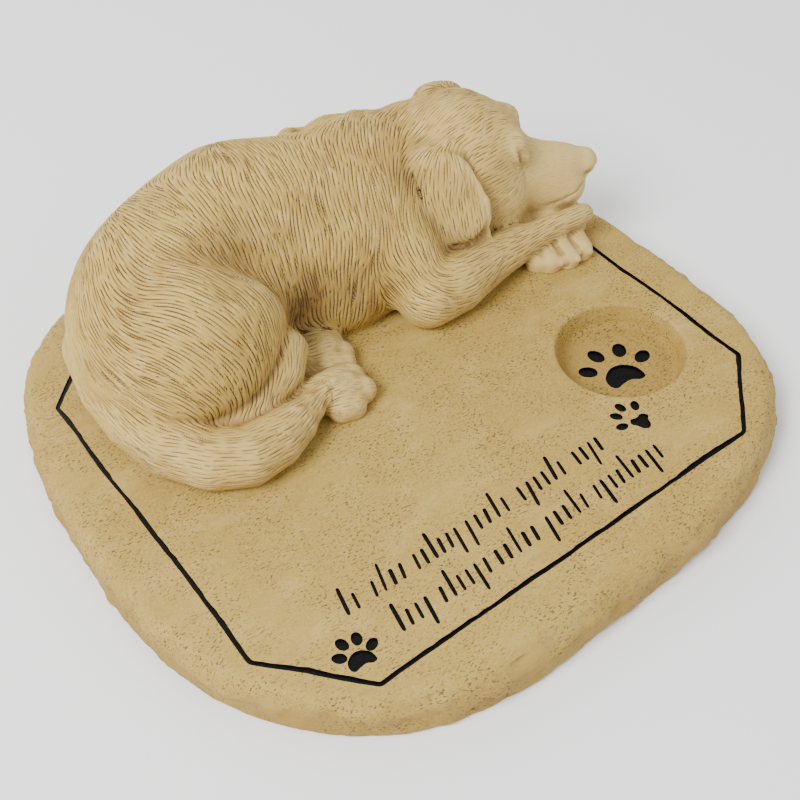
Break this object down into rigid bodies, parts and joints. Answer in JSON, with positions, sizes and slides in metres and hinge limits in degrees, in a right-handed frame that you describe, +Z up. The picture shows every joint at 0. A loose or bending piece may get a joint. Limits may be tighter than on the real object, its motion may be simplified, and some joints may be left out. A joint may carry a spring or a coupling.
{
  "type": "pet memorial statue",
  "caption": "Rounded memorial slab with a dog curled up asleep on it, a round candle seat, paw prints, a border line and rows of plain strokes.",
  "frame": {"origin": "middle of the flat underside, which is the bottom centre of the part's box", "axes": "+Z up from the slab, +X along the rows of strokes from their first to their last, +Y from the rows towards the dog's back"},
  "size_m": [0.2246, 0.2178, 0.072],
  "materials": {
    "cast_stone": "cream cast stone with a brown wash in the fur and matte black paint in the cut lines"
  },
  "bodies": {
    "root": {"memorial_stone": "cast_stone"}
  },
  "joints": []
}
